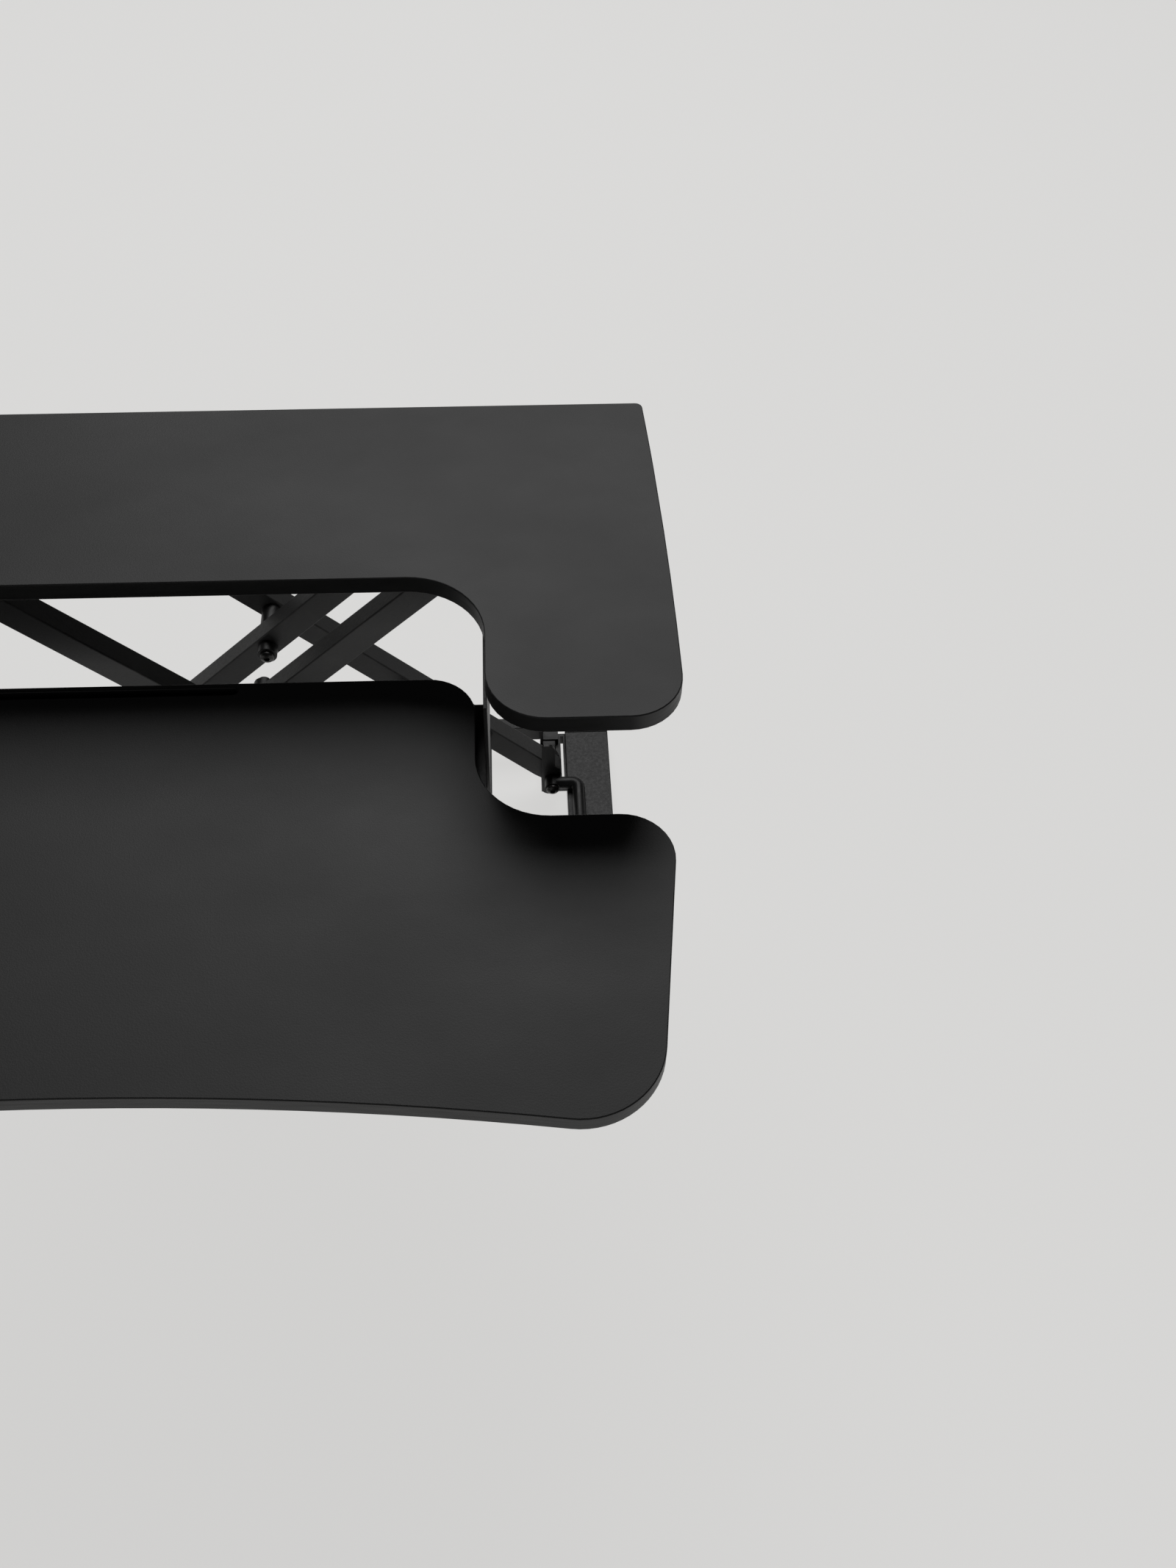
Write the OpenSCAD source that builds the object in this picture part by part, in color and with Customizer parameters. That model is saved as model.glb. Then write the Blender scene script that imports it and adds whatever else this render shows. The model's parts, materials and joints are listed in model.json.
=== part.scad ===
// Standing desk converter with a side-to-side scissor lift, shown raised.
// Origin: middle of the bounding box on the surface it stands on.
// +X to the user's right, +Y away from the user, +Z up. Millimetres.

/* [Desktop] */
// Width of the desktop
desk_w = 914; // [900:2:930]
// Thickness of the desktop board
desk_t = 16; // [12:1:18]
// Height of the desktop's top face when raised
desk_h = 505; // [500:1:510]
// Position of the cut-out's straight back edge
cut_y = 80; // [76:1:84]
// Width of the cut-out
cut_w = 625; // [619:2:631]
// Radius of the cut-out's two back corners
cut_r = 60; // [40:1:80]
// Length of the two front lobes beside the cut-out
lobe_len = 144; // [136:1:150]
// Radius of each lobe's corner towards the cut-out
lobe_inner_r = 45; // [30:1:50]
// Radius of each lobe's outer corner
lobe_outer_r = 40; // [25:1:55]
// Depth of the board behind the cut-out
board_back = 203; // [200:1:215]
// How far the side edges bow inwards at the back
side_bow = 10; // [4:1:14]
// Radius of the two back corners
back_r = 6; // [3:1:12]

/* [Keyboard tray] */
// Height from the tray's top face to the desktop's top face
tray_drop = 100; // [98:1:102]
// Thickness of the tray board
tray_t = 15; // [12:1:15]
// Widest width of the tray
tray_w = 903; // [880:1:905]
// Width of the tray's neck, which nests in the cut-out
neck_w = 606; // [600:2:610]
// Length of the neck
neck_len = 140; // [136:1:144]
// Clear gap behind the tray, up to the cut-out's edge
neck_gap = 15; // [10:1:20]
// Radius of the neck's rear corners
neck_r = 38; // [20:1:50]
// Radius of the hollow corners beside the neck
neck_fillet_r = 57; // [40:1:60]
// Radius of the wide part's rear corners
tray_rear_r = 40; // [25:1:50]
// Radius of the tray's front corners
tray_front_r = 60; // [40:1:70]
// Angle by which the tray's sides run in towards the front
tray_taper = 6.7; // [4:0.1:8]
// Depth of the tray on its centre line
tray_depth = 367; // [362:1:372]
// Radius of the hollow front edge
tray_front_hollow_r = 2700; // [2400:50:3200]
// Length of the tablet slot
slot_len = 224; // [180:2:260]
// Width of the tablet slot
slot_w = 7; // [5:0.5:9]
// Depth of the tablet slot
slot_depth = 9; // [6:0.5:10]
// Thickness of the ledge behind the tablet slot
slot_ledge = 5; // [4:0.5:8]

/* [Scissor lift] */
// Height of an arm's rectangular tube
arm_h = 24; // [22:0.5:24]
// Width of an arm's rectangular tube
arm_w = 21; // [18:0.5:21]
// Wall of the arm tubes
arm_wall = 2; // [1.5:0.5:3]
// Angle of the arms above the surface when raised
arm_angle = 44.5; // [44:0.1:45]
// Arm length from the lower pivot to the crossing
arm_lower = 369; // [368:0.5:370]
// Arm length from the crossing to the upper pivot
arm_upper = 268.5; // [268:0.5:269]
// Front face of the outer frame's front arm
outer_front_y = 93; // [91:0.5:93]
// Front face of the inner frame's front arm
inner_front_y = 129; // [129:0.5:130]
// Front face of the inner frame's rear arm
inner_rear_y = 212; // [212:0.5:214]
// Front face of the outer frame's rear arm
outer_rear_y = 258.5; // [257:0.5:261]
// Radius of the pivot bolts
bolt_r = 4; // [3.5:0.25:4.5]
// Radius of the track rollers
roller_r = 9; // [8:0.5:9]
// Distance of the gas strut's two tubes from the crossing
strut_arm = 166; // [164:1:168]

/* [Base] */
// Height of the pivots above the surface
pivot_z = 31; // [31:0.5:33]
// Position of the fixed lower pivot
pivot_x = 372.5; // [371.5:0.5:373]
// Inner face of the base rails
rail_in = 388.5; // [388:0.5:389]
// Width of the base rails
rail_w = 46.5; // [44:0.5:48]
// Height of the base rails
rail_h = 20; // [18:1:20]
// Height of the rubber feet
foot_h = 5; // [4:0.5:5]
// Front end of the base rails
rail_front = -62; // [-66:1:-50]

/* [Release paddles] */
// Length of each paddle along the desktop's side
paddle_len = 73; // [60:1:80]
// Reach of each paddle from its pin
paddle_reach = 38; // [30:1:39]

/* [Hidden] */
$fn = 48;

// Clearance of a round pin in its bush
pin_gap = 0.05;
// Clearance between faces that slide past each other
face_gap = 0.3;
// Steel sheet of brackets and hangers
sheet = 3;

// Heights of the boards
desk_bottom = desk_h - desk_t;
tray_top = desk_h - tray_drop;
tray_bottom = tray_top - tray_t;

// Desktop outline
lobe_y = cut_y - lobe_len;
desk_back = cut_y + board_back;
bow_start = lobe_y + lobe_outer_r;
function side_edge(y) = desk_w / 2 - side_bow * pow((y - bow_start) / (desk_back - bow_start), 2);

// Tray outline
tray_rear = cut_y - neck_gap;
tray_shoulder = tray_rear - neck_len;
tray_front = tray_rear - tray_depth;
hollow_y = tray_front - tray_front_hollow_r;
function tray_side(y) = tray_w / 2 + (y - tray_shoulder + tray_rear_r) * tan(tray_taper);
function corner_x(y) = tray_side(y) - tray_front_r / cos(tray_taper);
// Centre height of the front corner's arc: it touches the side and the hollow front edge
function corner_y(y, n) = n == 0 ? y : corner_y(
    hollow_y + sqrt(pow(tray_front_hollow_r + tray_front_r, 2) - pow(corner_x(y), 2)), n - 1);
front_corner_y = corner_y(tray_front, 6);
front_corner_x = corner_x(front_corner_y);
front_corner_end = atan2(hollow_y - front_corner_y, -front_corner_x);
tray_front_tip = front_corner_y - tray_front_r;

// The rails reach as far back as the tray reaches forward
rail_rear = -tray_front_tip;
rail_z = foot_h;
rail_top = foot_h + rail_h;
rail_wall = 2;
cap_t = 4;
back_d = 14;
back_y = rail_rear - back_d;
back_top = rail_top + rail_h;
foot_inset = 26;

// Scissor pivots, raised
cross_x = pivot_x - arm_lower * cos(arm_angle);
cross_z = pivot_z + arm_lower * sin(arm_angle);
top_pivot_x = cross_x + arm_upper * cos(arm_angle);
top_pivot_z = cross_z + arm_upper * sin(arm_angle);
base_roller_x = cross_x - arm_lower * cos(arm_angle);
top_roller_x = cross_x - arm_upper * cos(arm_angle);

outer_front_back = outer_front_y + arm_w;
inner_front_back = inner_front_y + arm_w;
inner_rear_back = inner_rear_y + arm_w;
outer_rear_back = outer_rear_y + arm_w;
middle_y = (inner_front_back + inner_rear_y) / 2;

// Tracks: C-channels that hold the rollers
roller_w = 12;
roller_gap = 3;
track_lip = 2.5;
track_web = 2;
track_in = 2 * roller_r + 2 * face_gap;
track_d = 16;
track_low = pivot_z - track_in / 2 - track_lip;
base_track_x = [-rail_in + 1, -128];
top_track_x = [-262, -55];
stop_t = 6;
member_top = track_low;
track_screw_inset = 14;

// Ends of the arms, narrower so that they clear the desktop and the brackets
arm_end_r = 10.4;
arm_taper = 14;

// Cross tubes
tube_r = 8;
tube_wall = 2;
outer_tube_at = 270;
inner_tube_at = 240;

// Bushes, bosses and fasteners
bush_r = 6;
boss_r = 9;
front_boss_len = 17;
rear_boss_len = 11;
ear_r = 9;
head_r = 6.5;
head_h = 5;
pan_r = 4;
pan_h = 2.6;
nut_r = 7.5;
nut_h = 6.5;

// Lower pivot brackets: a channel beside the rail and a flange on the rail's side
bracket_left = pivot_x - 11;
bracket_right = pivot_x + 8.5;
bracket_wall = 3;
bracket_floor = 3;
bracket_wall_h = 12.5;
bracket_lip = 2.5;
bracket_flange_t = 2;
bracket_tab = 4;
bracket_screw_y = [15, 26];
ear_gap = 1.3;
ear_top = 54;
ear_tall_right = 3;
ear_shoulder = 16;
ear_round = 8;
hub_len = 13;
hub_r = 8;
tie_r = 6.6;
tie_bend = 7.5;
tie_x = rail_in + 11.5;
tie_z = rail_top + tie_r + 0.1;

// Tray hangers
hanger_y = [tray_shoulder + 35, tray_rear - 15];
hanger_x = cut_w / 2 - 1.5;
hanger_foot = 60;
hanger_top = 38;
hanger_top_setback = 30;
tray_screw_inset = 14;
desk_screw_inset = 12;

// Screws and size of the angle brackets that carry the upper pivots
bracket_screws = [17, 8];
top_bracket_half = 24;

// Paddles
paddle_inset = 43;
paddle_setback = 42.5;
paddle_pin_x = desk_w / 2 - paddle_inset;
paddle_pin_z = desk_bottom - 11;
paddle_pin_r = 2.5;
paddle_hub_r = 5;
paddle_y = [lobe_y + paddle_setback, lobe_y + paddle_setback + paddle_len];
paddle_blade_t = 3;
paddle_grip_r = 3.5;
housing_x = [paddle_pin_x - 13, paddle_pin_x + 8];
housing_screw_inset = 16;
housing_screw_x = 7.5;
pin_overhang = 1.5;
spring_len = 12;
spring_wire = 1.2;

// Gas strut
strut_z = cross_z - strut_arm * sin(arm_angle);
strut_eye_x = cross_x + strut_arm * cos(arm_angle);
rod_eye_x = cross_x - strut_arm * cos(arm_angle);
eye_r = 12;
eye_w = 14;
cyl_r = 9.5;
cyl_bore_r = 8;
cyl_len = 150;
cyl_end = strut_eye_x - eye_r + 1 - cyl_len;
cyl_head = 24;
gland_len = 10;
gland_rim = 2;
rod_r = 4;
rod_len = 186;
piston_r = 7.7;
piston_len = 12;
lever_x = strut_eye_x - cyl_head;
lever_z = strut_z + cyl_r + 5;
lever_len = 22;
lever_half_w = 3;
lever_hub_r = 4.5;
lever_t = 4;
lever_pin_r = 2;
lever_post = [4, 5];

// Colours
BOARD = [0.16, 0.16, 0.165];
STEEL = [0.11, 0.11, 0.115];
DARK = [0.05, 0.05, 0.05];
BLACKENED = [0.08, 0.08, 0.085];
NYLON = [0.2, 0.2, 0.2];
CHROME = [0.7, 0.7, 0.72];

// ---------- helpers ----------

// Points along a round corner
function bend(cx, cy, r, a0, a1, n = 10) =
    [for (i = [0:n]) let (a = a0 + (a1 - a0) * i / n) [cx + r * cos(a), cy + r * sin(a)]];

// The same points on the left-hand side, in reverse order
function flip(pts) = [for (i = [len(pts) - 1:-1:0]) [-pts[i][0], pts[i][1]]];

// Round bar along Y
module rod_y(x, y0, y1, z, r) {
    translate([x, y1, z]) rotate([90, 0, 0]) cylinder(r = r, h = y1 - y0);
}

// Ring along Y
module ring_y(x, y0, y1, z, r, hole) {
    difference() {
        rod_y(x, y0, y1, z, r);
        rod_y(x, y0 - 1, y1 + 1, z, hole);
    }
}

// Box between two corners
module block(low, high) {
    translate(low) cube(high - low);
}

// Domed head along Y: dir -1 points to the front
module dome_y(x, y, z, r, h, dir) {
    translate([x, y, z]) rotate([90 * -dir, 0, 0]) rotate_extrude() polygon(concat(
        [[0, 0], [r, 0]],
        [for (i = [0:8]) [r * cos(i * 11.25), h * (0.4 + 0.6 * sin(i * 11.25))]]));
}

// Hexagon nut along Y that leaves room for its bolt
module nut_y(x, y, z) {
    difference() {
        translate([x, y + nut_h, z]) rotate([90, 0, 0]) cylinder(r = nut_r, h = nut_h, $fn = 6);
        rod_y(x, y - 1, y + nut_h + 1, z, bolt_r);
    }
}

// Upright plate with a round end about a pivot, between two heights
module ear(x, y, z, foot_z, hole) {
    translate([x, y + sheet, z]) rotate([90, 0, 0]) linear_extrude(sheet) difference() {
        union() {
            circle(r = ear_r);
            translate([-ear_r, min(0, foot_z - z)]) square([2 * ear_r, abs(foot_z - z)]);
        }
        circle(r = hole);
    }
}

// Hollow arm that narrows to round ends: it crosses the other frame at its own origin
module arm(left, right, cross_hole, left_hole, right_hole) {
    hollow = arm_h / 2 + bolt_r;
    difference() {
        translate([0, arm_w, 0]) rotate([90, 0, 0]) linear_extrude(arm_w) union() {
            polygon([
                [-left, -arm_end_r], [arm_taper - left, -arm_h / 2], [right - arm_taper, -arm_h / 2],
                [right, -arm_end_r], [right, arm_end_r], [right - arm_taper, arm_h / 2],
                [arm_taper - left, arm_h / 2], [-left, arm_end_r]]);
            translate([-left, 0]) circle(r = arm_end_r);
            translate([right, 0]) circle(r = arm_end_r);
        }
        block([-left + hollow, arm_wall, arm_wall - arm_h / 2],
              [right - hollow, arm_w - arm_wall, arm_h / 2 - arm_wall]);
        rod_y(0, -1, arm_w + 1, 0, cross_hole);
        rod_y(-left, -1, arm_w + 1, 0, left_hole);
        rod_y(right, -1, arm_w + 1, 0, right_hole);
    }
}

module outer_arm(y) {
    color(STEEL) translate([cross_x, y, cross_z]) rotate([0, arm_angle, 0])
        arm(arm_upper, arm_lower, bolt_r, bolt_r, bush_r);
}

module inner_arm(y) {
    color(STEEL) translate([cross_x, y, cross_z]) rotate([0, -arm_angle, 0])
        arm(arm_lower, arm_upper, bush_r, bolt_r, bush_r);
}

// Hollow tube from arm to arm, at a distance along an arm (negative is below the crossing)
module cross_tube(side, along, y0, y1) {
    x = cross_x + side * along * cos(arm_angle);
    z = cross_z + along * sin(arm_angle);
    color(STEEL) ring_y(x, y0, y1, z, tube_r, tube_r - tube_wall);
}

// Flanged bush in an arm; the flange faces the front or the back
module bush(x, y, z, dir) {
    y_flange = dir < 0 ? y - face_gap / 2 : y + arm_w;
    color(NYLON) difference() {
        union() {
            rod_y(x, y, y + arm_w, z, bush_r);
            rod_y(x, y_flange, y_flange + face_gap / 2, z, boss_r);
        }
        rod_y(x, y - 1, y + arm_w + 1, z, bolt_r + pin_gap);
    }
}

// C-channel that opens towards the front (dir -1) or the back (dir 1)
module track(x, y, z_mid, low, high, dir) {
    y_in = dir < 0 ? y - 1 : y + track_web;
    color(STEEL) difference() {
        block([x[0], y, low], [x[1], y + track_d, high]);
        block([x[0] - 1, y_in, z_mid - track_in / 2],
              [x[1] + 1, y_in + track_d - track_web + 1, z_mid + track_in / 2]);
    }
}

// Rubber blocks that close a channel's two ends
module stops(x, y, z_mid, dir) {
    y0 = dir < 0 ? y : y + track_web;
    for (x0 = [x[0], x[1] - stop_t])
        color(DARK) block([x0, y0, z_mid - track_in / 2],
                          [x0 + stop_t, y0 + track_d - track_web, z_mid + track_in / 2]);
}

// Roller with a crowned rim and a running bore
module roller(x, y, z) {
    crown = 0.6;
    color(NYLON) translate([x, y + roller_w, z]) rotate([90, 0, 0]) difference() {
        rotate_extrude() polygon([
            [0, 0], [roller_r - crown, 0], [roller_r, crown],
            [roller_r, roller_w - crown], [roller_r - crown, roller_w], [0, roller_w]]);
        translate([0, 0, -1]) cylinder(r = bolt_r + pin_gap, h = roller_w + 2);
    }
}

// Stub axle: head on one face of the arm, roller seat past the other
module stub_axle(x, y_arm, z, dir) {
    flat_head = 2;
    seat = roller_gap + roller_w + face_gap;
    y0 = dir < 0 ? y_arm - seat : y_arm;
    y_head = dir < 0 ? y_arm + arm_w : y_arm - flat_head;
    y_collar = dir < 0 ? y_arm - roller_gap + face_gap : y_arm + arm_w;
    color(BLACKENED) union() {
        rod_y(x, y0, y0 + arm_w + seat, z, bolt_r);
        rod_y(x, y_head, y_head + flat_head, z, head_r);
        rod_y(x, y_collar, y_collar + roller_gap - face_gap, z, bush_r);
    }
}

// Pan head on a sheet: dir 1 stands on its top face, -1 hangs under it
module pan_head(x, y, z, dir) {
    color(BLACKENED) translate([x, y, z]) rotate([dir > 0 ? 0 : 180, 0, 0]) rotate_extrude() polygon([
        [0, 0], [pan_r, 0], [pan_r, pan_h * 0.4],
        [pan_r * 0.8, pan_h * 0.85], [pan_r * 0.4, pan_h], [0, pan_h]]);
}

// Its contents, or their mirror image on the left-hand side
module on_side(side) {
    if (side < 0) mirror([1, 0, 0]) children();
    else children();
}

// ---------- base ----------

module rail(x) {
    color(STEEL) difference() {
        block([x, rail_front + cap_t, rail_z], [x + rail_w, rail_rear - cap_t, rail_top]);
        block([x + rail_wall, rail_front, rail_z + rail_wall],
              [x + rail_w - rail_wall, rail_rear, rail_top - rail_wall]);
    }
}

module base_rail_left() { rail(-rail_in - rail_w); }
module base_rail_right() { rail(rail_in); }

// Flanged plug that closes a rail at y; dir 1 points along the rail from its front end
module end_cap(x, y, dir) {
    plug = 10;
    fit = rail_wall + 0.1;
    y_out = [y, y + dir * cap_t];
    y_in = [y + dir * cap_t, y + dir * plug];
    color(DARK) union() {
        block([x, min(y_out), rail_z], [x + rail_w, max(y_out), rail_top]);
        block([x + fit, min(y_in), rail_z + fit], [x + rail_w - fit, max(y_in), rail_top - fit]);
    }
}

module rail_end_caps() {
    for (x = [-rail_in - rail_w, rail_in]) {
        end_cap(x, rail_front, 1);
        end_cap(x, rail_rear, -1);
    }
}

module rubber_feet() {
    foot_r = 17;
    draft = 1.5;
    for (x = [-1, 1], y = [rail_front + foot_inset, (rail_front + rail_rear) / 2, rail_rear - foot_inset])
        color(DARK) translate([x * (rail_in + rail_w / 2), y, 0])
            cylinder(r1 = foot_r - draft, r2 = foot_r, h = foot_h);
}

module cross_member(y) {
    wall = 1.5;
    color(STEEL) difference() {
        block([-rail_in, y, rail_z], [rail_in, y + track_d, member_top]);
        block([-rail_in - 1, y + wall, rail_z + wall],
              [rail_in + 1, y + track_d - wall, member_top - wall]);
    }
}

// Raised tube across the back, with a leg down the left rail's inner face
module back_cross_member() {
    wall = 1.5;
    color(STEEL) difference() {
        union() {
            block([-rail_in, back_y, rail_top], [bracket_left, rail_rear, back_top]);
            block([-rail_in, back_y, rail_z], [sheet - rail_in, rail_rear, rail_top]);
        }
        block([sheet - rail_in, back_y + wall, rail_top + wall],
              [bracket_left + 1, rail_rear - wall, back_top - wall]);
    }
}

track_front_y = inner_front_back + 2;
track_rear_y = inner_rear_y - 2 - track_d;

module front_cross_member() { cross_member(track_front_y); }
module rear_cross_member() { cross_member(track_rear_y); }

module base_track(y, dir) {
    track(base_track_x, y, pivot_z, track_low, pivot_z + track_in / 2 + track_lip, dir);
}

module base_track_front() { base_track(track_front_y, -1); }
module base_track_rear() { base_track(track_rear_y, 1); }

module base_track_stops() {
    stops(base_track_x, track_front_y, pivot_z, -1);
    stops(base_track_x, track_rear_y, pivot_z, 1);
}

// Plate in front of an arm's end, tall and rounded on its left, drawn in X and Z from the pivot
module front_ear() {
    low = rail_z - pivot_z;
    left = bracket_left - pivot_x;
    right = bracket_right - pivot_x;
    difference() {
        polygon(concat(
            bend(left + ear_round, low + ear_round, ear_round, 180, 270, 6),
            bend(right - ear_round, low + ear_round, ear_round, 270, 360, 6),
            [[right, ear_shoulder], [ear_tall_right, ear_shoulder + 4]],
            bend(ear_tall_right - ear_round, ear_top - ear_round, ear_round, 0, 90, 6),
            [[left + 2, ear_top], [left, ear_top - 2]]));
        circle(r = bolt_r);
    }
}

// Sheet-steel channel with two ears that carry an arm's lower pivot
module pivot_bracket(y_arm, y_end) {
    y0 = y_arm - ear_gap;
    low = rail_z;
    high = rail_z + bracket_wall_h;
    color(STEEL) union() {
        translate([pivot_x, y0, pivot_z]) rotate([90, 0, 0]) linear_extrude(sheet) front_ear();
        block([bracket_left, y0, low], [bracket_right, y_end, low + bracket_floor]);
        block([bracket_left, y0, low], [bracket_left + bracket_wall, y_end, high]);
        block([bracket_right - bracket_wall, y0, low], [bracket_right, y_end, high]);
        block([bracket_right, y0, high - bracket_wall], [bracket_right + bracket_lip, y_end, high]);
        block([rail_in - bracket_flange_t, y0, low], [rail_in, y_end, high]);
        block([bracket_right, y0, low], [rail_in, y0 + bracket_wall, high]);
        block([bracket_right, y_end - bracket_tab, low], [rail_in, y_end, high]);
        ear(pivot_x, y_arm + arm_w + ear_gap, pivot_z, rail_z, bolt_r);
    }
}

module pivot_bracket_front() { pivot_bracket(outer_front_y, track_front_y - 3); }

// The rear bracket also carries the back cross member: a taller wall and a plate over the channel
module pivot_bracket_rear() {
    y_end = rail_rear;
    color(STEEL) union() {
        pivot_bracket(outer_rear_y, y_end);
        block([bracket_left, back_y, rail_z], [bracket_left + bracket_wall, y_end, back_top]);
        block([bracket_left, back_y, rail_top - bracket_wall], [bracket_right, y_end, rail_top]);
        block([bracket_right - bracket_wall, back_y, rail_z], [bracket_right, y_end, rail_top]);
    }
}

// Tube on the rail, bent in at both ends, that ties the lower pivots together
tie_y = [outer_front_y - ear_gap - sheet - hub_len, outer_rear_y - ear_gap - sheet - hub_len];
module pivot_tie_tube() {
    y_bend = [for (i = [0, 1]) tie_y[i] + hub_len / 2 + (i == 0 ? tie_bend : -tie_bend)];
    color(STEEL) difference() {
        union() {
            rod_y(tie_x, y_bend[0], y_bend[1], tie_z, tie_r);
            for (i = [0, 1]) {
                translate([tie_x - tie_bend, y_bend[i], tie_z]) rotate([0, 0, i == 0 ? -90 : 0])
                    rotate_extrude(angle = 90) translate([tie_bend, 0]) circle(r = tie_r);
                translate([pivot_x, tie_y[i] + hub_len / 2, tie_z]) rotate([0, 90, 0])
                    cylinder(r = tie_r, h = tie_x - tie_bend - pivot_x);
                rod_y(pivot_x, tie_y[i], tie_y[i] + hub_len, pivot_z, hub_r);
            }
        }
        rod_y(pivot_x, tie_y[0] - 1, tie_y[1] + hub_len + 1, pivot_z, bolt_r);
    }
}

module lower_pivot_bolts() {
    for (i = [0, 1]) {
        y_arm = [outer_front_y, outer_rear_y][i];
        color(BLACKENED) union() {
            dome_y(pivot_x, tie_y[i], pivot_z, head_r, head_h, -1);
            rod_y(pivot_x, tie_y[i], y_arm + arm_w + ear_gap + sheet + nut_h + 1, pivot_z, bolt_r);
        }
    }
}

module lower_pivot_nuts() {
    for (y_arm = [outer_front_y, outer_rear_y])
        color(BLACKENED) nut_y(pivot_x, y_arm + arm_w + ear_gap + sheet, pivot_z);
}

module base_screws() {
    for (y = [track_front_y, track_rear_y], x = [base_track_x[0] + track_screw_inset,
                                                 base_track_x[1] - track_screw_inset])
        pan_head(x, y + track_d / 2, rail_z, -1);
    pan_head(pivot_x, outer_front_back + bracket_screw_y[0], rail_z + bracket_floor, 1);
    pan_head(pivot_x, outer_rear_back + bracket_screw_y[1], rail_z + bracket_floor, 1);
}

// ---------- outer frame ----------

module outer_arm_front() { outer_arm(outer_front_y); }
module outer_arm_rear() { outer_arm(outer_rear_y); }
module outer_lower_tube() { cross_tube(-1, -outer_tube_at, outer_front_back, outer_rear_y); }
module outer_strut_tube() { cross_tube(-1, -strut_arm, outer_front_back, outer_rear_y); }

module outer_lower_bushes() {
    bush(pivot_x, outer_front_y, pivot_z, -1);
    bush(pivot_x, outer_rear_y, pivot_z, -1);
}

module centre_pivot_bolts() {
    y_cap = inner_front_back + front_boss_len;
    y_head = inner_rear_y - rear_boss_len;
    color(BLACKENED) union() {
        dome_y(cross_x, outer_front_y, cross_z, head_r, head_h, -1);
        rod_y(cross_x, outer_front_y, y_cap, cross_z, bolt_r);
        dome_y(cross_x, y_cap, cross_z, head_r, head_h, 1);
    }
    color(BLACKENED) union() {
        dome_y(cross_x, y_head, cross_z, head_r, head_h, -1);
        rod_y(cross_x, y_head, outer_rear_back + nut_h, cross_z, bolt_r);
    }
}

module centre_spacers() {
    for (y = [
        [outer_front_back, inner_front_y - face_gap],
        [inner_front_back + face_gap, inner_front_back + front_boss_len],
        [inner_rear_y - rear_boss_len, inner_rear_y - face_gap],
        [inner_rear_back + face_gap, outer_rear_y]])
        color(STEEL) ring_y(cross_x, y[0], y[1], cross_z, boss_r, bolt_r);
}

module centre_pivot_nuts() {
    color(BLACKENED) nut_y(cross_x, outer_rear_back, cross_z);
}

module upper_roller_axles() {
    stub_axle(top_roller_x, outer_front_y, top_pivot_z, 1);
    stub_axle(top_roller_x, outer_rear_y, top_pivot_z, -1);
}

// ---------- inner frame ----------

module inner_arm_front() { inner_arm(inner_front_y); }
module inner_arm_rear() { inner_arm(inner_rear_y); }
module inner_upper_tube() { cross_tube(1, inner_tube_at, inner_front_back, inner_rear_y); }
module inner_strut_tube() { cross_tube(1, -strut_arm, inner_front_back, inner_rear_y); }

module centre_bushes() {
    bush(cross_x, inner_front_y, cross_z, -1);
    bush(cross_x, inner_rear_y, cross_z, -1);
}

module upper_bushes() {
    bush(top_pivot_x, inner_front_y, top_pivot_z, -1);
    bush(top_pivot_x, inner_rear_y, top_pivot_z, -1);
}

module lower_roller_axles() {
    stub_axle(base_roller_x, inner_front_y, pivot_z, 1);
    stub_axle(base_roller_x, inner_rear_y, pivot_z, -1);
}

// ---------- rollers ----------

module upper_roller_front() { roller(top_roller_x, outer_front_back + roller_gap, top_pivot_z); }
module upper_roller_rear() { roller(top_roller_x, outer_rear_y - roller_gap - roller_w, top_pivot_z); }
module lower_roller_front() { roller(base_roller_x, inner_front_back + roller_gap, pivot_z); }
module lower_roller_rear() { roller(base_roller_x, inner_rear_y - roller_gap - roller_w, pivot_z); }

// ---------- top ----------

module desktop() {
    half = concat(
        bend(cut_w / 2 - cut_r, cut_y - cut_r, cut_r, 90, 0, 12),
        bend(cut_w / 2 + lobe_inner_r, lobe_y + lobe_inner_r, lobe_inner_r, 180, 270),
        bend(desk_w / 2 - lobe_outer_r, bow_start, lobe_outer_r, 270, 360),
        [for (i = [1:12]) let (y = bow_start + (desk_back - back_r - bow_start) * i / 12)
            [side_edge(y), y]],
        bend(side_edge(desk_back - back_r) - back_r, desk_back - back_r, back_r, 15, 90, 4));
    color(BOARD) translate([0, 0, desk_bottom]) linear_extrude(desk_t)
        polygon(concat(half, flip(half)));
}

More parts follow.
